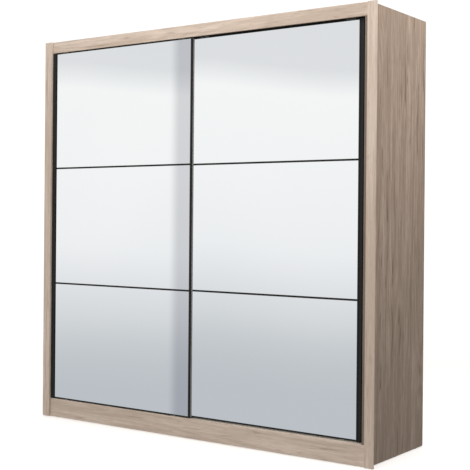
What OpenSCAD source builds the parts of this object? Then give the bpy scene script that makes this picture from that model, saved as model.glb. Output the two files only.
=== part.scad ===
// Free-standing wardrobe with two mirrored sliding doors.
// The origin is on the floor, at the middle of the footprint. The front faces -Y and +X is
// to the right seen from the front.

/* [Overall] */
// Width across the front frame
width = 2140; // [1900:10:2400]
// Depth from the face of the stiles to the back edge of the sides
depth = 600; // [560:5:660]
// Height above the floor
height = 2150; // [2000:10:2300]

/* [Front frame] */
// Width of each upright stile
stile_w = 54; // [48:1:64]
// Thickness of the stiles
stile_t = 16; // [14:1:20]
// Width of the bevel on the inner edge of a stile
stile_bevel_w = 4; // [2:0.5:6]
// Depth of that bevel
stile_bevel_d = 8; // [4:0.5:9]
// How far the rail and the plinth lie behind the face of the stiles
fascia_recess = 10; // [10:0.5:12]
// Visible height of the top rail
rail_h = 63; // [58:1:80]
// Height of the plinth above the floor
plinth_h = 105; // [95:1:130]
// Thickness of the top rail and the front plinth
fascia_t = 12; // [10:0.5:12]

/* [Boards] */
// Thickness of the carcass boards
board_t = 18; // [16:1:22]
// Thickness of the back panels
back_t = 3.2; // [2.5:0.1:4]
// Height of the top face of the hat shelves
hat_shelf_z = 1800; // [1700:10:1850]

/* [Doors] */
// Where the inner edge of the closed front door stands, from the middle
meet_x = -8; // [-40:1:20]
// How far the closed rear door reaches behind the front door
overlap = 30; // [26:1:46]
// Thickness of a mirror
mirror_t = 4; // [3:0.5:4]
// Thickness of the board that carries the mirrors
core_t = 12; // [12:0.5:13]
// Visible height of the strips between the mirrors
divider_h = 9.5; // [7:0.5:12]
// Width of the handle profile
handle_w = 26; // [20:1:32]
// How far the handle profile stands out from the mirror
handle_proud = 9; // [7:0.5:10]
// Width of the slim edge profile
slim_w = 12; // [10:1:16]
// Distance between the two door lanes
lane_pitch = 30; // [30:1:34]

/* [Rollers] */
// Diameter of a door wheel
wheel_d = 26; // [24:1:28]
// Thickness of a door wheel
wheel_t = 4.6; // [4:0.2:4.6]
// Diameter of the wheel axles
axle_d = 4; // [3:0.5:5]

/* [Hanging rail] */
// Height of the oval tube's section
tube_h = 30; // [24:1:34]
// Thickness of the oval tube's section
tube_w = 15; // [12:1:18]
// Height of the middle of the hanging rail
tube_z = 1712; // [1650:1:1730]

/* [Hidden] */
$fn = 48;
eps = 0.2;                                  // how far a cutter runs past a face
edge = 0.8;                                 // chamfer along the edges of boards
glide_t = 3;                                // thickness of the floor glides
fit_gap = 0.2;                              // clearance around let-in parts

// Frame and carcass
front_y = -depth / 2;
rear_y = depth / 2;
frame_y = front_y + stile_t;                // front of the side panels
fascia_y = front_y + fascia_recess;         // front of the rail and the plinth
fascia_back_y = fascia_y + fascia_t;
inner_x = width / 2 - stile_w;              // inner face of the side panels
side_x = inner_x + board_t;                 // outer face of the side panels
back_y = rear_y - 15;                       // front face of the back panels
floor_z = plinth_h - 4;                     // top face of the bottom panel
ceiling_z = height - board_t;               // under face of the top panel
opening_top_z = height - rail_h;
groove_d = 7;                               // depth of the back panel's groove
outer_edge_t = 4;                           // thickness left at a stile's bevelled edge
inside_y = front_y + 78;                    // front edge of the partition
shelf_y = inside_y + 18;                    // front edge of the shelves
shelf_back_y = back_y - 5;

// Doors
leaf_gap = 4;
leaf_z0 = plinth_h + leaf_gap;
leaf_z1 = opening_top_z - leaf_gap;
leaf_h = leaf_z1 - leaf_z0;
leaf_t = mirror_t + core_t;
skin = 1.5;                                 // wall of the door profiles
edge_bottom_h = 6;                          // visible height of the bottom profile
edge_top_h = 4;                             // visible height of the top profile
side_gap = 2;
front_x0 = -inner_x + side_gap;             // outer edge of the front door
stop_strip_w = 31;                          // strips that close the rear lane's ends
filler_w = 14;                              // strip beside the closed rear door
rear_x1 = inner_x - stop_strip_w - side_gap;  // outer edge of the rear door
front_leaf_w = meet_x - front_x0;
rear_leaf_w = rear_x1 - meet_x + overlap;
travel = rear_x1 + meet_x - overlap;        // either door opens this far
front_mirror_y = fascia_y + 7;
rear_mirror_y = front_mirror_y + lane_pitch;
mirror_z0 = leaf_z0 + edge_bottom_h;
mirror_z1 = leaf_z1 - edge_top_h;
mirror_h = (mirror_z1 - mirror_z0 - 2 * divider_h) / 3;
mirror_pitch = mirror_h + divider_h;
divider_web = 3;
slim_proud = 2;                             // how far the slim profile stands out
pocket = 3;                                 // how far a mirror runs under a profile
finger_r = 8;                               // radius and depth of the handle's groove
finger_depth = 3.2;

// Rollers, guides and tracks
core_mid = mirror_t + core_t / 2;           // middle of the carrier board, from the mirror face
track_base = 1.4;
track_lip = 1.2;
groove_w = 7.6;
wheel_z = floor_z + track_base + 0.3 + wheel_d / 2;
axle_play = 0.08;                           // radial play of a wheel on its axle
roller_inset = 110;                         // from a door's edge to the middle of a roller
housing_l = 46;
housing_w = 9;
housing_h = 25;
guide_l = 50;
guide_inset = 80;
guide_reach = 9;                            // how far a guide stands above the door
top_track_h = 8;
channel_d = 6.5;
track_back_y = inside_y - 6;
stop_l = 22;

// Inside
shelf_count = 3;
bay_x = [board_t / 2, inner_x];
shelf_bay = (hat_shelf_z - board_t - floor_z - shelf_count * board_t) / (shelf_count + 1);
shelf_z = [for (i = [1:shelf_count]) floor_z + i * shelf_bay + (i - 1) * board_t];
pin_d = 5;
pin_l = 16;
pin_ys = [shelf_y + 40, shelf_back_y - 60];
cam_d = 15;
cam_h = 12.5;
cam_inset = 34;
cam_ys = [shelf_y + 70, shelf_back_y - 90];
tube_y = 30;
tube_wall = 1.2;
socket_t = 2.5;
bracket_xs = [-510, 510];
bracket_w = 24;
bracket_leg = 40;
bracket_t = 2;
wall_hole_d = 6;
wall_hole_z = ceiling_z - 26;

// ---------------------------------------------------------------- building blocks

// A rectangle from corner a to corner b with small 45 degree corners
module soft_rect(a, b, c = edge) {
    polygon([
        [a[0] + c, a[1]], [b[0] - c, a[1]], [b[0], a[1] + c], [b[0], b[1] - c],
        [b[0] - c, b[1]], [a[0] + c, b[1]], [a[0], b[1] - c], [a[0], a[1] + c]
    ]);
}

// Extrudes an outline drawn in (y, z) along X
module along_x(x0, x1) {
    translate([x0, 0, 0])
        rotate([90, 0, 90])
            linear_extrude(x1 - x0)
                children();
}

// Extrudes an outline drawn in (x, y) along Z
module along_z(z0, z1) {
    translate([0, 0, z0])
        linear_extrude(z1 - z0)
            children();
}

// A plain block between two corners
module block(a, b) {
    translate(a)
        cube(b - a);
}

// A board with its long edges along X
module board_x(x, y, z) {
    along_x(x[0], x[1])
        soft_rect([y[0], z[0]], [y[1], z[1]]);
}

// A board with its long edges along Z
module board_z(x, y, z) {
    along_z(z[0], z[1])
        soft_rect([x[0], y[0]], [x[1], y[1]]);
}

// A cylinder along Y, from y0 to y1
module rod_y(d, x, z, y0, y1) {
    translate([x, y1, z])
        rotate([90, 0, 0])
            cylinder(d = d, h = y1 - y0);
}

// A cylinder along X, from x0 to x1
module rod_x(d, y, z, x0, x1) {
    translate([x0, y, z])
        rotate([0, 90, 0])
            cylinder(d = d, h = x1 - x0);
}

module to_right(right) {
    if (right)
        mirror([1, 0, 0])
            children();
    else
        children();
}

// ---------------------------------------------------------------- carcass

// Left side, grooved for the back panel; the pin holes are drilled by the callers
module side_panel() {
    difference() {
        board_z([-side_x, -inner_x], [frame_y, rear_y], [glide_t, height]);
        block([-inner_x - groove_d, back_y, 0], [-inner_x + 1, back_y + back_t + fit_gap, height + 1]);
    }
}

module pin_holes(x0, x1) {
    for (z = shelf_z, y = pin_ys)
        rod_x(pin_d, y, z - pin_d / 2, x0, x1);
}

module side_panel_left() {
    color("#9c8b7e")
        side_panel();
}

module side_panel_right() {
    color("#9c8b7e")
        difference() {
            mirror([1, 0, 0])
                side_panel();
            pin_holes(inner_x - eps, inner_x + pin_l / 2);
        }
}

// Front upright; its outer edge is bevelled away behind the face, its inner one in front
module stile() {
    x0 = width / 2;
    bevel = stile_t - outer_edge_t;
    color("#c6b2a2")
        along_z(glide_t, height)
            polygon([
                [-x0 + edge, front_y], [-inner_x - stile_bevel_w, front_y],
                [-inner_x, front_y + stile_bevel_d], [-inner_x, frame_y],
                [-x0 + bevel, frame_y], [-x0, front_y + outer_edge_t], [-x0, front_y + edge]
            ]);
}

module stile_left() {
    stile();
}

module stile_right() {
    to_right(true)
        stile();
}

module top_rail() {
    color("#c8b4a4")
        board_x([-inner_x, inner_x], [fascia_y, fascia_back_y], [opening_top_z, height]);
}

module front_plinth() {
    color("#b8a292")
        board_x([-inner_x, inner_x], [fascia_y, fascia_back_y], [glide_t, plinth_h]);
}

module rear_plinth() {
    color("#a8988a")
        board_x([-inner_x, inner_x], [back_y - 40, back_y - 40 + board_t],
                [glide_t, floor_z - board_t]);
}

module centre_support() {
    color("#a8988a")
        block([-board_t / 2, fascia_back_y, glide_t],
              [board_t / 2, back_y - 40, floor_z - board_t]);
}

module cam_holes(z0, z1, xs) {
    for (x = xs, y = cam_ys)
        translate([x, y, z0])
            cylinder(d = cam_d + fit_gap, h = z1 - z0);
}

cam_xs = [-inner_x + cam_inset, -bay_x[0] - cam_inset, bay_x[0] + cam_inset, inner_x - cam_inset];

module top_panel() {
    color("#b3a090")
        difference() {
            board_x([-inner_x, inner_x], [fascia_back_y, back_y], [ceiling_z, height]);
            cam_holes(ceiling_z - eps, ceiling_z + cam_h, cam_xs);
            for (bx = bracket_xs, dx = [-7, 7])
                translate([bx + dx, back_y - 28, ceiling_z - eps])
                    cylinder(d = 3.5, h = 12 + eps);
        }
}

module bottom_panel() {
    color("#b3a090")
        difference() {
            board_x([-inner_x, inner_x], [fascia_back_y, back_y], [floor_z - board_t, floor_z]);
            cam_holes(floor_z - board_t - eps, floor_z - board_t + cam_h,
                      [cam_xs[0], cam_xs[3]]);
        }
}

module centre_partition() {
    color("#a8988a")
        difference() {
            board_z([-board_t / 2, board_t / 2], [inside_y, back_y - 3], [floor_z, ceiling_z]);
            pin_holes(board_t / 2 - pin_l / 2, board_t / 2 + eps);
        }
}

// Left half of the back, let into the groove of the side
module back_panel() {
    color("#cdbfb0")
        difference() {
            block([-inner_x - groove_d + 0.5, back_y, floor_z - board_t],
                  [-1.2, back_y + back_t, height]);
            rod_y(wall_hole_d + 1, bracket_xs[0], wall_hole_z, back_y - 1, back_y + back_t + 1);
        }
}

module back_panel_left() {
    back_panel();
}

module back_panel_right() {
    to_right(true)
        back_panel();
}

// H-shaped strip that joins the two halves of the back
module back_joiner() {
    flange = 9;
    wall = 1.6;
    color("#e4e0da")
        along_z(floor_z, ceiling_z)
            union() {
                translate([-flange, back_y - wall])
                    square([2 * flange, wall]);
                translate([-0.8, back_y - wall / 2])
                    square([1.6, back_t + wall]);
                translate([-flange, back_y + back_t])
                    square([2 * flange, wall]);
            }
}

// ---------------------------------------------------------------- tracks

function lane_y(lane) = (lane == 0 ? front_mirror_y : rear_mirror_y) + core_mid;

module track_batten() {
    color("#a8988a")
        board_x([-inner_x, inner_x], [fascia_back_y, track_back_y],
                [opening_top_z + top_track_h, ceiling_z]);
}

// Two channels, open downwards
module top_track() {
    color("#26262a")
        along_x(-inner_x, inner_x)
            difference() {
                translate([fascia_back_y, opening_top_z])
                    square([track_back_y - fascia_back_y, top_track_h]);
                for (lane = [0, 1])
                    translate([lane_y(lane) - 3.5, opening_top_z - eps])
                        square([7, channel_d + eps]);
            }
}

// A base strip with a groove for each lane of wheels
module bottom_track() {
    color("#c8bfb2")
        along_x(-inner_x, inner_x)
            union() {
                translate([fascia_back_y, floor_z])
                    square([track_back_y - fascia_back_y, track_base]);
                for (lane = [0, 1], side = [-1, 1])
                    translate([lane_y(lane) + side * (groove_w + track_lip) / 2 - track_lip / 2,
                               floor_z])
                        square([track_lip, plinth_h - floor_z]);
            }
}

// Where the guides of a lane stand at their two limits: [leftmost, rightmost]
function guide_limits(lane) = lane == 0
    ? [front_x0 + guide_inset, front_x0 + front_leaf_w - guide_inset + travel]
    : [rear_x1 - rear_leaf_w + guide_inset - travel, rear_x1 - guide_inset];

// Clips in the top channels, which end each door's travel
module track_stops() {
    reach = guide_l / 2 + 1;
    color("#2b2b2d")
        for (lane = [0, 1]) {
            limits = guide_limits(lane);
            for (x0 = [limits[0] - reach - stop_l, limits[1] + reach])
                block([x0, lane_y(lane) - 3.4, opening_top_z + 0.6],
                      [x0 + stop_l, lane_y(lane) + 3.4, opening_top_z + channel_d]);
        }
}

// Upright strips that the rear door closes against
module stop_strips() {
    color("#6c6056")
        for (right = [false, true])
            to_right(right)
                board_z([-inner_x, -inner_x + stop_strip_w],
                        [rear_mirror_y, rear_mirror_y + leaf_t],
                        [plinth_h + 0.4, opening_top_z - 0.4]);
}

// Narrow upright between the rail and the plinth, beside the right stile
module filler_strip() {
    color("#6c6056")
        board_z([inner_x - filler_w, inner_x], [fascia_y, fascia_back_y],
                [plinth_h + 0.2, opening_top_z - 0.2]);
}

// Soft pads where the outer edge of each closed door lands
module edge_buffers() {
    thick = 1.6;
    color("#3a3a3c")
        for (z = [leaf_z0 + 150, (leaf_z0 + leaf_z1) / 2, leaf_z1 - 150]) {
            rod_x(10, lane_y(0), z, -inner_x, -inner_x + thick);
            rod_x(10, lane_y(1), z, rear_x1 + side_gap - thick, rear_x1 + side_gap);
            rod_x(10, lane_y(1), z, -rear_x1 - side_gap, -rear_x1 - side_gap + thick);
        }
}

// ---------------------------------------------------------------- inside

module hat_shelf(right) {
    color("#b3a090")
        to_right(right)
            difference() {
                board_x([-bay_x[1], -bay_x[0]], [shelf_y, shelf_back_y],
                        [hat_shelf_z - board_t, hat_shelf_z]);
                cam_holes(hat_shelf_z - board_t - eps, hat_shelf_z - board_t + cam_h,
                          [cam_xs[0], cam_xs[1]]);
            }
}

module hat_shelf_left() {
    hat_shelf(false);
}

module hat_shelf_right() {
    hat_shelf(true);
}

module loose_shelf(index) {
    color("#b3a090")
        board_x([bay_x[0] + 1, bay_x[1] - 1], [shelf_y, shelf_back_y],
                [shelf_z[index], shelf_z[index] + board_t]);
}

module shelf_lower() {
    loose_shelf(0);
}

module shelf_middle() {
    loose_shelf(1);
}

module shelf_upper() {
    loose_shelf(2);
}

module shelf_pins() {
    color("#c9ccd0")
        for (z = shelf_z, y = pin_ys) {
            rod_x(pin_d, y, z - pin_d / 2, bay_x[0] - pin_l / 2, bay_x[0] + pin_l / 2);
            rod_x(pin_d, y, z - pin_d / 2, bay_x[1] - pin_l / 2, bay_x[1] + pin_l / 2);
        }
}

// One cam disc with a cross slot in its face
module cam() {
    difference() {
        cylinder(d = cam_d, h = cam_h - 0.5);
        for (a = [0, 90])
            rotate([0, 0, a])
                translate([-4.5, -0.7, -eps])
                    cube([9, 1.4, 2]);
    }
}

module cam_locks() {
    color("#a9acb0") {
        for (x = cam_xs, y = cam_ys, z = [ceiling_z, hat_shelf_z - board_t])
            translate([x, y, z])
                cam();
        for (x = [cam_xs[0], cam_xs[3]], y = cam_ys)
            translate([x, y, floor_z - board_t])
                cam();
    }
}

module oval(h, w) {
    union() {
        for (s = [-1, 1])
            translate([0, s * (h - w) / 2])
                circle(d = w);
        square([w, h - w], center = true);
    }
}

module hanging_rail() {
    color("#d5d8db")
        translate([0, tube_y, tube_z])
            along_x(-bay_x[1] + socket_t, -bay_x[0] - socket_t)
                difference() {
                    oval(tube_h, tube_w);
                    oval(tube_h - 2 * tube_wall, tube_w - 2 * tube_wall);
                }
}

socket_screw_dz = 27;

// Left socket: a wall plate with an open-topped cup around the tube's end
module rail_socket() {
    plate_w = 28;
    cup_l = 12;
    cup_wall = 2;
    x0 = -bay_x[1];
    difference() {
        union() {
            along_x(x0, x0 + socket_t)
                translate([tube_y, tube_z])
                    soft_rect([-plate_w / 2, -36], [plate_w / 2, 36], 6);
            along_x(x0, x0 + socket_t + cup_l)
                translate([tube_y, tube_z])
                    difference() {
                        oval(tube_h + 2 * cup_wall + 1, tube_w + 2 * cup_wall + 1);
                        translate([-20, tube_h / 2 - 5])
                            square([40, 40]);
                    }
        }
        translate([0, tube_y, tube_z])
            along_x(x0 + socket_t, x0 + socket_t + cup_l + 1)
                union() {
                    oval(tube_h + 0.6, tube_w + 0.6);
                    translate([-tube_w / 2 - 0.3, 0])
                        square([tube_w + 0.6, 40]);
                }
        for (s = [-1, 1])
            rod_x(4.4, tube_y, tube_z + s * socket_screw_dz, x0 - 1, x0 + socket_t + 1);
    }
}

// Calls its children at the left end of the tube and, mirrored, at the right end
module at_tube_ends() {
    children();
    translate([-bay_x[1] - bay_x[0], 0, 0])
        mirror([1, 0, 0])
            children();
}

module rail_sockets() {
    color("#c4c7ca")
        at_tube_ends()
            rail_socket();
}

module rail_socket_screws() {
    color("#8e9195")
        at_tube_ends()
            for (s = [-1, 1])
                rod_x(8, tube_y, tube_z + s * socket_screw_dz, -bay_x[1] + socket_t,
                      -bay_x[1] + socket_t + 2.2);
}

// Angle brackets that hold the wardrobe to the wall, under the back of the top panel
module wall_brackets() {
    color("#c0c3c6")
        for (bx = bracket_xs)
            difference() {
                union() {
                    block([bx - bracket_w / 2, back_y - bracket_leg, ceiling_z - bracket_t],
                          [bx + bracket_w / 2, back_y, ceiling_z]);
                    block([bx - bracket_w / 2, back_y - bracket_t, ceiling_z - bracket_leg],
                          [bx + bracket_w / 2, back_y, ceiling_z]);
                }
                rod_y(wall_hole_d, bx, wall_hole_z, back_y - 5, back_y + 5);
                for (dx = [-7, 7])
                    translate([bx + dx, back_y - 28, ceiling_z - 5])
                        cylinder(d = 3.9, h = 10);
            }
}

module bracket_screws() {
    color("#8e9195")
        for (bx = bracket_xs, dx = [-7, 7])
            translate([bx + dx, back_y - 28, ceiling_z - bracket_t - 2])
                union() {
                    cylinder(d = 7, h = 2);
                    cylinder(d = 3.5, h = 14);
                }
}

// Nail-on glides under the sides, the middle support and the stiles
module floor_glides() {
    color("#2f2f31")
        for (x = [-side_x + board_t / 2, 0, side_x - board_t / 2],
             y = [frame_y + 40, 0, back_y - 60])
            translate([x, y, 0])
                cylinder(d1 = 14, d2 = 17, h = glide_t);
}

// ---------------------------------------------------------------- doors

// The doors are drawn with the handle at the left. In a door's own place, x = 0 is its
// outer edge and y = 0 is the face of its mirrors.
module place_door(lane) {
    if (lane == 0)
        translate([front_x0, front_mirror_y, 0])
            children();
    else
        translate([rear_x1, rear_mirror_y, 0])
            mirror([1, 0, 0])
                children();
}

function leaf_w(lane) = lane == 0 ? front_leaf_w : rear_leaf_w;
function roller_xs(lane) = [roller_inset, leaf_w(lane) - roller_inset];
function guide_xs(lane) = [guide_inset, leaf_w(lane) - guide_inset];

// Grey carrier board with pockets for the rollers and the guides
module door_board(lane) {
    w = leaf_w(lane);
    color("#8d8d8c")
        place_door(lane)
            difference() {
                block([skin, mirror_t, leaf_z0 + skin], [w, leaf_t, leaf_z1 - skin]);
                for (x = roller_xs(lane))
                    block([x - housing_l / 2 - fit_gap, core_mid - housing_w / 2 - fit_gap, 0],
                          [x + housing_l / 2 + fit_gap, core_mid + housing_w / 2 + fit_gap,
                           leaf_z0 + skin + housing_h + fit_gap]);
                for (x = guide_xs(lane))
                    block([x - guide_l / 2 - fit_gap, core_mid - housing_w / 2 - fit_gap,
                           leaf_z1 - 22 - fit_gap],
                          [x + guide_l / 2 + fit_gap, core_mid + housing_w / 2 + fit_gap,
                           leaf_z1 + 1]);
            }
}

// One of the three mirrors; 0 is the lowest
module door_mirror(lane, index) {
    x0 = handle_w - pocket;
    x1 = leaf_w(lane) - slim_w + pocket;
    z0 = mirror_z0 + index * mirror_pitch;
    reach = (divider_h - divider_web) / 2 - 0.2;
    low = index == 0 ? pocket : reach;
    high = index == 2 ? edge_top_h - skin - 0.3 : reach;
    color("#dfe4e8")
        place_door(lane)
            block([x0, 0, z0 - low], [x1, mirror_t, z0 + mirror_h + high]);
}

// Two strips with a face over the joint of the mirrors and a web between them
module door_dividers(lane) {
    x0 = handle_w;
    x1 = leaf_w(lane) - slim_w;
    color("#1f1f21")
        place_door(lane)
            for (i = [1, 2])
                translate([0, 0, mirror_z0 + i * mirror_pitch - divider_h / 2])
                    along_x(x0, x1)
                        union() {
                            polygon([[-1.2, -divider_h / 2 + 0.5], [-0.7, -divider_h / 2],
                                     [0, -divider_h / 2], [0, divider_h / 2],
                                     [-0.7, divider_h / 2], [-1.2, divider_h / 2 - 0.5]]);
                            translate([-0.5, -divider_web / 2])
                                square([mirror_t + 0.5, divider_web]);
                        }
}

// Outer upright with a finger groove in its face
module door_handle(lane) {
    color("#242427")
        place_door(lane)
            along_z(leaf_z0, leaf_z1)
                difference() {
                    soft_rect([0, -handle_proud], [handle_w, leaf_t + skin]);
                    translate([skin, mirror_t])
                        square([handle_w, core_t]);
                    translate([handle_w - pocket, 0])
                        square([handle_w, mirror_t + 0.1]);
                    translate([handle_w / 2, finger_depth - handle_proud - finger_r])
                        circle(r = finger_r);
                }
}

// Inner upright; it covers the edge of the mirrors and sits on the front of the board
module door_slim_edge(lane) {
    w = leaf_w(lane);
    color("#242427")
        place_door(lane)
            along_z(leaf_z0, leaf_z1)
                difference() {
                    soft_rect([w - slim_w, -slim_proud], [w, mirror_t], 0.6);
                    translate([w - slim_w - 1, 0])
                        square([1 + pocket, mirror_t + 1]);
                }
}

// Bottom profile, notched where the rollers stand
module door_bottom_edge(lane) {
    w = leaf_w(lane);
    color("#242427")
        place_door(lane)
            difference() {
                along_x(handle_w, w - slim_w)
                    difference() {
                        translate([-skin, leaf_z0])
                            square([leaf_t + 2 * skin, edge_bottom_h]);
                        translate([0, leaf_z0 + edge_bottom_h - pocket])
                            square([mirror_t, pocket + 1]);
                        translate([mirror_t, leaf_z0 + skin])
                            square([core_t, edge_bottom_h]);
                    }
                for (x = roller_xs(lane))
                    block([x - housing_l / 2 - fit_gap, core_mid - housing_w / 2 - fit_gap,
                           leaf_z0 - 1],
                          [x + housing_l / 2 + fit_gap, core_mid + housing_w / 2 + fit_gap,
                           leaf_z0 + 3]);
            }
}

// Top profile, notched where the guides stand
module door_top_edge(lane) {
    w = leaf_w(lane);
    color("#242427")
        place_door(lane)
            difference() {
                along_x(handle_w, w - slim_w)
                    difference() {
                        translate([-skin, leaf_z1 - edge_top_h])
                            square([leaf_t + 2 * skin, edge_top_h]);
                        translate([0, leaf_z1 - edge_top_h - 1])
                            square([mirror_t, 1 + edge_top_h - skin]);
                        translate([mirror_t, leaf_z1 - edge_top_h - 1])
                            square([core_t, 1 + edge_top_h - skin]);
                    }
                for (x = guide_xs(lane))
                    block([x - guide_l / 2 - fit_gap, core_mid - housing_w / 2 - fit_gap,
                           leaf_z1 - 3],
                          [x + guide_l / 2 + fit_gap, core_mid + housing_w / 2 + fit_gap,
                           leaf_z1 + 1]);
            }
}

// Two steel housings with their axle pins, let into the bottom of the board
module door_rollers(lane) {
    slot = wheel_t + 1;
    color("#8e9195")
        place_door(lane)
            for (x = roller_xs(lane)) {
                difference() {
                    block([x - housing_l / 2, core_mid - housing_w / 2, leaf_z0],
                          [x + housing_l / 2, core_mid + housing_w / 2,
                           leaf_z0 + housing_h]);
                    block([x - wheel_d / 2 - 1.5, core_mid - slot / 2, leaf_z0 - 1],
                          [x + wheel_d / 2 + 1.5, core_mid + slot / 2,
                           wheel_z + wheel_d / 2 + 1.5]);
                }
                rod_y(axle_d, x, wheel_z, core_mid - slot / 2 - 0.5, core_mid + slot / 2 + 0.5);
            }
}

// Two guide tongues that run in the top channel
module door_guides(lane) {
    color("#e9e6df")
        place_door(lane)
            for (x = guide_xs(lane)) {
                block([x - guide_l / 2, core_mid - housing_w / 2, leaf_z1 - 22],
                      [x + guide_l / 2, core_mid + housing_w / 2, leaf_z1]);
                block([x - guide_l / 2, core_mid - 2.7, leaf_z1 - 1],
                      [x + guide_l / 2, core_mid + 2.7, leaf_z1 + guide_reach]);
            }
}

// One wheel; index 0 is the one nearer the handle
module door_wheel(lane, index) {
    x = roller_xs(lane)[index];
    color("#dedbd4")
        place_door(lane)
            difference() {
                rod_y(wheel_d, x, wheel_z, core_mid - wheel_t / 2, core_mid + wheel_t / 2);
                rod_y(axle_d + 2 * axle_play, x, wheel_z, core_mid - wheel_t, core_mid + wheel_t);
                for (s = [-1, 1])
                    translate([x, core_mid + s * wheel_t / 2, wheel_z])
                        rotate([90, 0, 0])
                            difference() {
                                cylinder(d = wheel_d - 7, h = 1.6, center = true);
                                cylinder(d = axle_d + 6, h = 3, center = true);
                            }
            }
}

module front_door_board() { door_board(0); }
module front_door_mirror_bottom() { door_mirror(0, 0); }
module front_door_mirror_middle() { door_mirror(0, 1); }
module front_door_mirror_top() { door_mirror(0, 2); }
module front_door_dividers() { door_dividers(0); }
module front_door_handle() { door_handle(0); }
module front_door_slim_edge() { door_slim_edge(0); }
module front_door_top_edge() { door_top_edge(0); }
module front_door_bottom_edge() { door_bottom_edge(0); }
module front_door_rollers() { door_rollers(0); }
module front_door_guides() { door_guides(0); }
module front_wheel_left() { door_wheel(0, 0); }
module front_wheel_right() { door_wheel(0, 1); }

module rear_door_board() { door_board(1); }
module rear_door_mirror_bottom() { door_mirror(1, 0); }
module rear_door_mirror_middle() { door_mirror(1, 1); }
module rear_door_mirror_top() { door_mirror(1, 2); }
module rear_door_dividers() { door_dividers(1); }
module rear_door_handle() { door_handle(1); }
module rear_door_slim_edge() { door_slim_edge(1); }
module rear_door_top_edge() { door_top_edge(1); }
module rear_door_bottom_edge() { door_bottom_edge(1); }
module rear_door_rollers() { door_rollers(1); }
module rear_door_guides() { door_guides(1); }
module rear_wheel_right() { door_wheel(1, 0); }
module rear_wheel_left() { door_wheel(1, 1); }

side_panel_left();
side_panel_right();
stile_left();
stile_right();
top_rail();
front_plinth();
rear_plinth();
centre_support();
top_panel();
bottom_panel();
centre_partition();
back_panel_left();
back_panel_right();
back_joiner();
track_batten();
top_track();
bottom_track();
track_stops();
stop_strips();
filler_strip();
edge_buffers();
hat_shelf_left();
hat_shelf_right();
shelf_lower();
shelf_middle();
shelf_upper();
shelf_pins();
cam_locks();
hanging_rail();
rail_sockets();
rail_socket_screws();
wall_brackets();
bracket_screws();
floor_glides();
front_door_board();
front_door_mirror_bottom();
front_door_mirror_middle();
front_door_mirror_top();
front_door_dividers();
front_door_handle();
front_door_slim_edge();
front_door_top_edge();
front_door_bottom_edge();
front_door_rollers();
front_door_guides();
front_wheel_left();
front_wheel_right();
rear_door_board();
rear_door_mirror_bottom();
rear_door_mirror_middle();
rear_door_mirror_top();
rear_door_dividers();
rear_door_handle();
rear_door_slim_edge();
rear_door_top_edge();
rear_door_bottom_edge();
rear_door_rollers();
rear_door_guides();
rear_wheel_left();
rear_wheel_right();
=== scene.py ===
"""Looks of a wardrobe with two mirrored sliding doors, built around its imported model."""
import math

import bpy
from mathutils import Matrix, Vector


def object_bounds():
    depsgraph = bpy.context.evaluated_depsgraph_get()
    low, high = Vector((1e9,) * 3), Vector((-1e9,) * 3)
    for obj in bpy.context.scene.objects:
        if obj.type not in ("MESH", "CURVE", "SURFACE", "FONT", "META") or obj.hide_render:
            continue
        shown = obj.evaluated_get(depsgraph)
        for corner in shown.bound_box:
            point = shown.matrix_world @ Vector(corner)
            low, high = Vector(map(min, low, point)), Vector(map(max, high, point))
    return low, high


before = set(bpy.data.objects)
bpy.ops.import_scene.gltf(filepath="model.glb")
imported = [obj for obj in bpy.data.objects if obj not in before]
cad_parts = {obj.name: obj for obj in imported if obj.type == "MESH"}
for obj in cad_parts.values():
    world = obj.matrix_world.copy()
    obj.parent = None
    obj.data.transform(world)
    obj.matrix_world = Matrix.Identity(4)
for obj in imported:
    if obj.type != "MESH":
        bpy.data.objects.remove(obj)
cad_low, cad_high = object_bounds()
scene = bpy.context.scene

# Colours are linear, lengths in metres, angles in degrees, powers in watts.

# Wood decors, each between a light and a dark tone
OAK_LIGHT = (0.815, 0.682, 0.578)
OAK_DARK = (0.602, 0.485, 0.394)
# The side panels' decor is darker than the front's: partly a darker oak tone of its own, partly
# painted shade for their side faces
SIDE_DECOR_AND_SHADE_LIGHT = (0.615, 0.490, 0.402)
SIDE_DECOR_AND_SHADE_DARK = (0.330, 0.255, 0.202)
# The filler and stop strips: dark brown, partly their own tone and partly painted shade of the
# recess they sit in
TRIM_BROWN_AND_SHADE_LIGHT = (0.235, 0.185, 0.148)
TRIM_BROWN_AND_SHADE_DARK = (0.165, 0.13, 0.103)
BACK_LIGHT = (0.56, 0.46, 0.375)
BACK_DARK = (0.42, 0.335, 0.27)
PROFILE_BLACK = (0.011, 0.011, 0.0105)
PROFILE_ROUGH = 0.55

# Camera, fitted to the photo; the corner is the wardrobe's lower front one on +X
LENS_MM = 78.56
SENSOR_MM = 36.0
SHIFT_Y = -0.0283
CAMERA_FROM_CORNER = (2.189, -4.195, 1.1375)
CAMERA_PAN = 35.359
CAMERA_PITCH = -0.087
CAMERA_ROLL = 0.476

# Lights
KEY_W = 54.0
KEY_COLOUR = (1.0, 0.97, 0.94)
KEY_SIZE = (3.2, 1.4)
SIDE_W = 75.0
SIDE_COLOUR = (1.0, 0.965, 0.93)
SIDE_SIZE = (1.6, 1.6)

# Studio: the plain backdrop, the sky that matt surfaces facing +X get, and the sky high and low
BACKDROP = (1.06, 1.06, 1.06)
DIM_SKY = (0.130, 0.124, 0.118)
FAR_SKY = (0.70, 0.665, 0.625)
# The darker band that the mirrors show, by its bearing, and how it tints what is behind it
BAND_EDGE = 37.85
BAND_DARK = (0.0, 0.0, 0.07)
BAND_SHARE = 0.28
# The floor's disc, the distances between which it fades out, and its glow
FLOOR_RADIUS = 9.0
FLOOR_FADE = (2.2, 6.0)
FLOOR_COLOUR = (0.86, 0.865, 0.87, 1.0)
FLOOR_GLOW = 0.34
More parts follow.
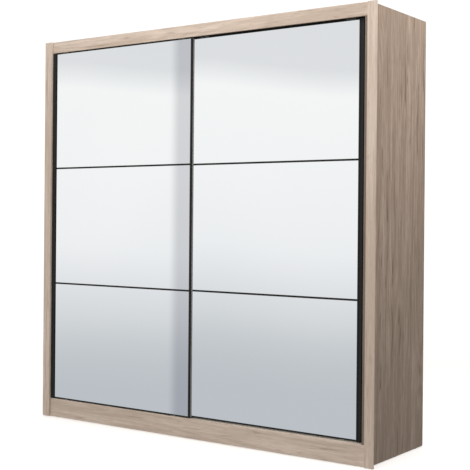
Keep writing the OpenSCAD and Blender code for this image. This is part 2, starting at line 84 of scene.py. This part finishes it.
# What the mirrors see in front of the wardrobe, by the height of the direction
SKY = ((-0.25, (0.530, 0.560, 0.590)), (-0.165, (0.535, 0.565, 0.595)),
       (-0.140, (0.565, 0.595, 0.620)), (-0.120, (0.615, 0.640, 0.660)),
       (-0.095, (0.710, 0.730, 0.745)), (-0.070, (0.785, 0.800, 0.815)),
       (-0.050, (0.850, 0.860, 0.870)), (-0.030, (0.905, 0.915, 0.920)),
       (-0.010, (0.925, 0.930, 0.930)), (0.040, (0.950, 0.955, 0.955)),
       (0.122, (0.975, 0.980, 0.970)), (0.133, (0.880, 0.890, 0.890)),
       (0.147, (0.775, 0.785, 0.795)), (0.25, (0.770, 0.780, 0.790)))


# ------------------------------------------------------------------ small helpers

def add(tree, kind, inputs=None, **settings):
    """Adds a node; inputs are values or sockets to link from."""
    node = tree.nodes.new(kind)
    for key, value in settings.items():
        setattr(node, key, value)
    for key, value in (inputs or {}).items():
        if isinstance(value, bpy.types.NodeSocket):
            tree.links.new(value, node.inputs[key])
        else:
            node.inputs[key].default_value = value
    return node


def math_node(tree, operation, *values):
    node = add(tree, "ShaderNodeMath", operation=operation)
    for socket, value in zip(node.inputs, values):
        if isinstance(value, bpy.types.NodeSocket):
            tree.links.new(value, socket)
        else:
            socket.default_value = value
    return node.outputs[0]


def smooth(tree, value, start, end, low=0.0, high=1.0):
    """Goes smoothly from low to high as value goes from start to end."""
    node = add(tree, "ShaderNodeMapRange", {"Value": value, "From Min": start, "From Max": end,
               "To Min": low, "To Max": high}, interpolation_type="SMOOTHSTEP")
    return node.outputs["Result"]


def mix(tree, factor, a, b, blend="MIX"):
    node = add(tree, "ShaderNodeMix", data_type="RGBA", blend_type=blend)
    for socket, value in ((node.inputs[0], factor), (node.inputs[6], a), (node.inputs[7], b)):
        if isinstance(value, bpy.types.NodeSocket):
            tree.links.new(value, socket)
        elif isinstance(value, tuple):
            socket.default_value = (*value, 1.0)
        else:
            socket.default_value = value
    return node.outputs[2]


def ramp(tree, value, stops, reach=0.25):
    """A colour by value, from stops between -reach and reach."""
    place = add(tree, "ShaderNodeMapRange", {"Value": value, "From Min": -reach,
                "From Max": reach}).outputs["Result"]
    node = add(tree, "ShaderNodeValToRGB", {0: place})
    elements = node.color_ramp.elements
    while len(elements) < len(stops):
        elements.new(0.5)
    for element, (at, colour) in zip(elements, stops):
        element.position = (at + reach) / (2 * reach)
        element.color = (*colour, 1.0)
    return node.outputs["Color"]


def new_material(name):
    """A material, its node tree and its shader."""
    mat = bpy.data.materials.new(name)
    mat.use_nodes = True
    return mat, mat.node_tree, mat.node_tree.nodes["Principled BSDF"]


def bump(tree, shader, height, distance, strength):
    node = add(tree, "ShaderNodeBump", {"Height": height, "Distance": distance,
               "Strength": strength})
    tree.links.new(node.outputs["Normal"], shader.inputs["Normal"])


def dress(material, *names):
    """Gives CAD nodes a material."""
    for name in names:
        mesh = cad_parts[name].data
        mesh.materials.clear()
        mesh.materials.append(material)


# ------------------------------------------------------------------ materials

def scaled(colour, factors):
    return tuple(factor * part for factor, part in zip(factors, colour))


def grain_space(tree, along, seed):
    """Object coordinates turned so that the grain runs along the third one."""
    coords = add(tree, "ShaderNodeTexCoord").outputs["Object"]
    split = add(tree, "ShaderNodeSeparateXYZ", {0: coords}).outputs
    order = {"X": (1, 2, 0), "Y": (0, 2, 1), "Z": (0, 1, 2)}[along]
    shift = (seed * 1.37, seed * 2.11, seed * 3.73)
    parts = [math_node(tree, "ADD", split[axis], shift[i]) for i, axis in enumerate(order)]
    return add(tree, "ShaderNodeCombineXYZ", {0: parts[0], 1: parts[1], 2: parts[2]}).outputs[0]


def stretched_noise(tree, space, across, along, detail=2.0, distortion=0.0):
    """Noise with one scale across the grain and another along it."""
    drawn_out = add(tree, "ShaderNodeVectorMath", {0: space, 1: (across, across, along)},
                    operation="MULTIPLY").outputs[0]
    return add(tree, "ShaderNodeTexNoise", {"Vector": drawn_out, "Scale": 1.0, "Detail": detail,
               "Roughness": 0.5, "Distortion": distortion}).outputs["Fac"]


def oak(name, along, seed, light=OAK_LIGHT, dark=OAK_DARK, figure=0.5, knots=0.0, dashes=0.0,
        streak=0.42, gloss=0.42):
    """Laminated oak decor: growth figure, streaks, pores, and knots and dashes where asked."""
    mat, tree, shader = new_material(name)
    space = grain_space(tree, along, seed)
    hill = stretched_noise(tree, space, 7.0, 0.55, 1.5, 0.3)
    rings = math_node(tree, "SINE", math_node(tree, "MULTIPLY", hill, 95.0))
    rings = smooth(tree, rings, -1.0, 1.0)
    streaks = stretched_noise(tree, space, 26.0, 0.8, 3.0, 0.2)
    fibres = stretched_noise(tree, space, 210.0, 5.0, 3.0)
    patches = stretched_noise(tree, space, 2.2, 0.9, 2.0)
    tone = math_node(tree, "MULTIPLY", rings, figure * 0.38)
    tone = math_node(tree, "ADD", tone, math_node(tree, "MULTIPLY",
                     smooth(tree, streaks, 0.32, 0.68), streak))
    tone = math_node(tree, "ADD", tone, math_node(tree, "MULTIPLY",
                     smooth(tree, fibres, 0.3, 0.7), 0.24))
    tone = math_node(tree, "ADD", tone, math_node(tree, "MULTIPLY",
                     smooth(tree, patches, 0.3, 0.7), 0.22))
    tone = smooth(tree, tone, 0.15, 1.05)
    colour = mix(tree, tone, dark, light)
    pores = stretched_noise(tree, space, 420.0, 16.0, 1.0)
    pores = smooth(tree, pores, 0.60, 0.70, 0.0, 0.5)
    colour = mix(tree, pores, colour, scaled(dark, (0.62,) * 3))
    if dashes:
        fine = stretched_noise(tree, space, 105.0, 12.0, 3.0, 0.6)
        colour = mix(tree, smooth(tree, fine, 0.46, 0.60, 0.0, dashes * 0.42), colour,
                     scaled(dark, (0.86, 0.79, 0.74)))
        short = stretched_noise(tree, space, 44.0, 3.4, 3.0, 1.0)
        short = smooth(tree, short, 0.60, 0.70, 0.0, dashes)
        colour = mix(tree, short, colour, scaled(dark, (0.58, 0.49, 0.43)))
    if knots:
        colour = knotted(tree, space, colour, dark, knots)
    tree.links.new(colour, shader.inputs["Base Color"])
    rough = smooth(tree, tone, 0.0, 1.0, 0.56, 0.44)
    tree.links.new(rough, shader.inputs["Roughness"])
    shader.inputs["Specular IOR Level"].default_value = gloss
    relief = math_node(tree, "SUBTRACT", math_node(tree, "MULTIPLY", fibres, 0.5), pores)
    bump(tree, shader, relief, 0.00025, 0.5)
    return mat


def knotted(tree, space, colour, dark, amount):
    """Small dark knots, scattered and a little drawn out along the grain."""
    wobble = stretched_noise(tree, space, 30.0, 20.0, 2.0)
    squeezed = add(tree, "ShaderNodeVectorMath", {0: space, 1: (3.1, 3.1, 1.7)},
                   operation="MULTIPLY").outputs[0]
    cells = add(tree, "ShaderNodeTexVoronoi", {"Vector": squeezed, "Scale": 1.0,
                "Randomness": 1.0}, feature="F1")
    reach = math_node(tree, "ADD", cells.outputs["Distance"],
                      math_node(tree, "MULTIPLY", wobble, 0.04))
    chosen = add(tree, "ShaderNodeSeparateColor", {0: cells.outputs["Color"]}).outputs[0]
    chosen = smooth(tree, chosen, 1.0 - amount, 1.0 - amount + 0.02)
    spot = math_node(tree, "MULTIPLY", smooth(tree, reach, 0.085, 0.03), chosen)
    return mix(tree, math_node(tree, "MULTIPLY", spot, 0.6), colour,
               scaled(dark, (0.5,) * 3))


def mirror_glass():
    """Silvered glass with a slight drift of tint and a faint film."""
    mat, tree, shader = new_material("mirror_glass")
    coords = add(tree, "ShaderNodeTexCoord").outputs["Object"]
    drift = add(tree, "ShaderNodeTexNoise", {"Vector": coords, "Scale": 1.3, "Detail": 1.0})
    tint = mix(tree, smooth(tree, drift.outputs["Fac"], 0.3, 0.7), (0.915, 0.93, 0.94),
               (0.93, 0.94, 0.95))
    tree.links.new(tint, shader.inputs["Base Color"])
    shader.inputs["Metallic"].default_value = 1.0
    film = add(tree, "ShaderNodeTexNoise", {"Vector": coords, "Scale": 9.0, "Detail": 3.0})
    tree.links.new(smooth(tree, film.outputs["Fac"], 0.35, 0.75, 0.004, 0.018),
                   shader.inputs["Roughness"])
    return mat


def coated_metal(name, colour, rough, along, line_depth=0.12):
    """Satin coated extrusion with faint lines along its length."""
    mat, tree, shader = new_material(name)
    space = grain_space(tree, along, 1.0)
    lines = stretched_noise(tree, space, 900.0, 3.0, 2.0)
    speck = stretched_noise(tree, space, 1500.0, 1500.0, 1.0)
    shade = smooth(tree, lines, 0.3, 0.7, 1.0 - line_depth, 1.0 + line_depth)
    tinted = add(tree, "ShaderNodeVectorMath", {0: colour, 3: shade}, operation="SCALE")
    tree.links.new(tinted.outputs[0], shader.inputs["Base Color"])
    tree.links.new(smooth(tree, speck, 0.3, 0.7, rough - 0.05, rough + 0.05),
                   shader.inputs["Roughness"])
    shader.inputs["Specular IOR Level"].default_value = 0.25
    bump(tree, shader, lines, 0.00004, 0.6)
    return mat


def bare_metal(name, colour, rough, along="X", spangle=0.0):
    """Metal with drawing lines, and zinc spangle where asked."""
    mat, tree, shader = new_material(name)
    space = grain_space(tree, along, 2.0)
    lines = stretched_noise(tree, space, 700.0, 4.0, 2.0)
    shade = smooth(tree, lines, 0.3, 0.7, 0.93, 1.05)
    if spangle:
        cells = add(tree, "ShaderNodeTexVoronoi", {"Vector": space, "Scale": 260.0})
        flake = add(tree, "ShaderNodeSeparateColor", {0: cells.outputs["Color"]}).outputs[0]
        shade = math_node(tree, "MULTIPLY", shade,
                          smooth(tree, flake, 0.0, 1.0, 1.0 - spangle, 1.0 + spangle))
    tinted = add(tree, "ShaderNodeVectorMath", {0: colour, 3: shade}, operation="SCALE")
    tree.links.new(tinted.outputs[0], shader.inputs["Base Color"])
    shader.inputs["Metallic"].default_value = 1.0
    tree.links.new(smooth(tree, lines, 0.3, 0.7, rough - 0.04, rough + 0.06),
                   shader.inputs["Roughness"])
    bump(tree, shader, lines, 0.00003, 0.5)
    return mat


def moulded(name, colour, rough, grain=1400.0):
    """Moulded plastic or rubber with a fine spark-eroded grain."""
    mat, tree, shader = new_material(name)
    coords = add(tree, "ShaderNodeTexCoord").outputs["Object"]
    fine = add(tree, "ShaderNodeTexNoise", {"Vector": coords, "Scale": grain, "Detail": 2.0})
    cloud = add(tree, "ShaderNodeTexNoise", {"Vector": coords, "Scale": 25.0, "Detail": 2.0})
    shade = smooth(tree, cloud.outputs["Fac"], 0.3, 0.7, 0.94, 1.04)
    tinted = add(tree, "ShaderNodeVectorMath", {0: colour, 3: shade}, operation="SCALE")
    tree.links.new(tinted.outputs[0], shader.inputs["Base Color"])
    tree.links.new(smooth(tree, fine.outputs["Fac"], 0.3, 0.7, rough - 0.06, rough + 0.06),
                   shader.inputs["Roughness"])
    bump(tree, shader, fine.outputs["Fac"], 0.00006, 0.5)
    return mat


def dress_all():
    """One material for each decor, with its grain along the piece."""
    for i, name in enumerate(("stile_left", "stile_right")):
        dress(oak("oak_" + name, "Z", 1.0 + 0.3 * i, figure=0.35, dashes=0.30), name)
    # Filler and stop strips: their dark brown is partly painted shade of the recess
    dress(oak("brown_trim", "Z", 1.9, TRIM_BROWN_AND_SHADE_LIGHT, TRIM_BROWN_AND_SHADE_DARK, 0.35), "filler_strip",
          "stop_strips")
    for i, name in enumerate(("top_rail", "front_plinth")):
        dress(oak("oak_" + name, "X", 3.0 + i, figure=0.6, knots=0.3, dashes=0.42), name)
    # Side panels: a darker decor, partly their own tone and partly painted shade
    for i, name in enumerate(("side_panel_left", "side_panel_right")):
        dress(oak("oak_" + name, "Z", 5.0 + i, SIDE_DECOR_AND_SHADE_LIGHT, SIDE_DECOR_AND_SHADE_DARK, figure=0.45, knots=0.6,
                  dashes=0.8, streak=0.20, gloss=0.12), name)
    dress(oak("oak_centre_partition", "Z", 7.0, figure=0.7), "centre_partition")
    for i, name in enumerate(("rear_plinth", "top_panel", "bottom_panel", "track_batten",
                              "hat_shelf_left", "hat_shelf_right", "shelf_lower",
                              "shelf_middle", "shelf_upper")):
        dress(oak("oak_" + name, "X", 9.0 + i, figure=0.7), name)
    dress(oak("oak_centre_support", "Y", 19.0, figure=0.5), "centre_support")
    dress(oak("back_board", "Z", 20.0, BACK_LIGHT, BACK_DARK, 0.5),
          "back_panel_left", "back_panel_right")
    glass = mirror_glass()
    upright = coated_metal("black_profile_upright", PROFILE_BLACK, PROFILE_ROUGH, "Z")
    level = coated_metal("black_profile_level", PROFILE_BLACK, PROFILE_ROUGH, "X")
    board = moulded("grey_board", (0.33, 0.33, 0.325), 0.6, 500.0)
    zinc = bare_metal("zinc_steel", (0.62, 0.63, 0.65), 0.34, "X", 0.10)
    nylon = moulded("white_nylon", (0.74, 0.73, 0.69), 0.45)
    for side in ("front", "rear"):
        door = side + "_door_"
        dress(glass, door + "mirror_bottom", door + "mirror_middle", door + "mirror_top")
        dress(upright, door + "handle", door + "slim_edge")
        dress(level, door + "dividers", door + "top_edge", door + "bottom_edge")
        dress(board, door + "board")
        dress(zinc, door + "rollers")
        dress(nylon, door + "guides", side + "_wheel_left", side + "_wheel_right")
    dress(nylon, "back_joiner")
    dress(coated_metal("track_coat", (0.62, 0.58, 0.52), 0.5, "X", 0.05), "bottom_track")
    dress(level, "top_track")
    dress(bare_metal("chrome_tube", (0.86, 0.87, 0.88), 0.10), "hanging_rail", "rail_sockets")
    dress(zinc, "shelf_pins", "rail_socket_screws", "bracket_screws", "wall_brackets")
    dress(bare_metal("cam_zinc", (0.55, 0.56, 0.57), 0.42, "X", 0.06), "cam_locks")
    dress(moulded("black_plastic", (0.03, 0.03, 0.032), 0.5), "track_stops", "floor_glides")
    dress(moulded("buffer_rubber", (0.05, 0.05, 0.052), 0.75, 700.0), "edge_buffers")


def calm_mirrors():
    """Keeps the thin parts around the mirrors out of their reflections."""
    parts = ["top_rail", "front_plinth", "filler_strip", "stop_strips", "bottom_track", "top_track"]
    for side in ("front", "rear"):
        parts += [side + "_door_" + part for part in
                  ("handle", "slim_edge", "board", "dividers", "top_edge", "bottom_edge",
                   "mirror_bottom", "mirror_middle", "mirror_top")]
    for name in parts:
        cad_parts[name].visible_glossy = False


# ------------------------------------------------------------------ camera and studio

def make_camera():
    data = bpy.data.cameras.new("camera")
    data.lens = LENS_MM
    data.sensor_width = SENSOR_MM
    data.shift_y = SHIFT_Y
    camera = bpy.data.objects.new("camera", data)
    scene.collection.objects.link(camera)
    corner = Vector((cad_high[0], cad_low[1], cad_low[2]))
    place = corner + Vector(CAMERA_FROM_CORNER)
    turn = (Matrix.Rotation(math.radians(CAMERA_PAN), 4, "Z")
            @ Matrix.Rotation(math.radians(90.0 + CAMERA_PITCH), 4, "X")
            @ Matrix.Rotation(math.radians(CAMERA_ROLL), 4, "Z"))
    camera.matrix_world = Matrix.Translation(place) @ turn
    scene.camera = camera


def make_world():
    """White behind; in front a white wall under a greyer ceiling, over a blue-grey floor."""
    world = bpy.data.worlds.new("studio")
    world.use_nodes = True
    scene.world = world
    tree = world.node_tree
    tree.nodes.clear()
    direction = add(tree, "ShaderNodeTexCoord").outputs["Generated"]
    x, y, z = add(tree, "ShaderNodeSeparateXYZ", {0: direction}).outputs
    # The bearing of the direction, and a small lean of the horizon to either side of the band
    turn = math_node(tree, "DEGREES", math_node(tree, "ARCTAN2",
                     math_node(tree, "MULTIPLY", x, -1.0), math_node(tree, "MULTIPLY", y, -1.0)))
    left = smooth(tree, turn, 45.0, BAND_EDGE, -0.003, 0.003)
    right = smooth(tree, turn, BAND_EDGE, 29.0, -0.010, 0.003)
    past = math_node(tree, "GREATER_THAN", turn, BAND_EDGE)
    lean = add(tree, "ShaderNodeMix", {0: past, 2: right, 3: left}, data_type="FLOAT").outputs[0]
    front_sky = ramp(tree, math_node(tree, "ADD", z, lean), SKY)
    band = math_node(tree, "MULTIPLY", smooth(tree, turn, 39.1, 38.45), past)
    front_sky = mix(tree, math_node(tree, "MULTIPLY", band, BAND_SHARE), front_sky, BAND_DARK)
    steep = smooth(tree, math_node(tree, "ABSOLUTE", z), 0.22, 0.45)
    front_sky = mix(tree, steep, front_sky, FAR_SKY)
    colour = mix(tree, smooth(tree, y, 0.02, -0.2), BACKDROP, front_sky)
    # Matt surfaces facing +X get a dimmer sky, and the camera sees the plain backdrop
    ray = add(tree, "ShaderNodeLightPath").outputs
    matt = math_node(tree, "SUBTRACT", 1.0, ray["Is Glossy Ray"])
    dim = math_node(tree, "MULTIPLY", smooth(tree, x, 0.0, 0.45), matt)
    colour = mix(tree, dim, colour, DIM_SKY)
    colour = mix(tree, ray["Is Camera Ray"], colour, BACKDROP)
    shader = add(tree, "ShaderNodeBackground", {"Color": colour, "Strength": 1.0})
    add(tree, "ShaderNodeOutputWorld", {"Surface": shader.outputs[0]})


def make_floor():
    """A pale disc that fades into the white around it, and glows a little to match it."""
    bpy.ops.mesh.primitive_circle_add(vertices=96, radius=FLOOR_RADIUS, fill_type="NGON",
                                      location=(0, 0, cad_low[2]))
    floor = bpy.context.object
    floor.name = "floor"
    mat, tree, shader = new_material("floor")
    coords = add(tree, "ShaderNodeTexCoord").outputs["Object"]
    distance = add(tree, "ShaderNodeVectorMath", {0: coords}, operation="LENGTH")
    shader.inputs["Base Color"].default_value = FLOOR_COLOUR
    shader.inputs["Roughness"].default_value = 0.85
    shader.inputs["Specular IOR Level"].default_value = 0.2
    tree.links.new(smooth(tree, distance.outputs["Value"], *FLOOR_FADE, 1.0, 0.0),
                   shader.inputs["Alpha"])
    floor.data.materials.append(mat)
    shader.inputs["Emission Color"].default_value = (1.0, 1.0, 1.0, 1.0)
    shader.inputs["Emission Strength"].default_value = FLOOR_GLOW
    floor.visible_glossy = False
    floor.visible_diffuse = False


def area_light(name, place, target, size, power, colour):
    """A rectangular light at place, turned towards target."""
    data = bpy.data.lights.new(name, "AREA")
    data.shape = "RECTANGLE"
    data.size, data.size_y = size
    data.energy = power
    data.color = colour
    light = bpy.data.objects.new(name, data)
    scene.collection.objects.link(light)
    aim = Vector(target) - Vector(place)
    light.matrix_world = (Matrix.Translation(Vector(place))
                          @ aim.to_track_quat("-Z", "Y").to_matrix().to_4x4())


def make_lights():
    top = cad_high[2]
    area_light("key", (0.4, -2.8, top + 1.3), (0.2, cad_low[1], top - 0.8), KEY_SIZE, KEY_W,
               KEY_COLOUR)
    area_light("side", (cad_high[0] + 1.8, 0.2, top + 1.4), (cad_high[0], 0.0, top - 1.0),
               SIDE_SIZE, SIDE_W, SIDE_COLOUR)


scene.view_settings.view_transform = "Standard"
make_camera()
make_world()
make_floor()
make_lights()
dress_all()
calm_mirrors()
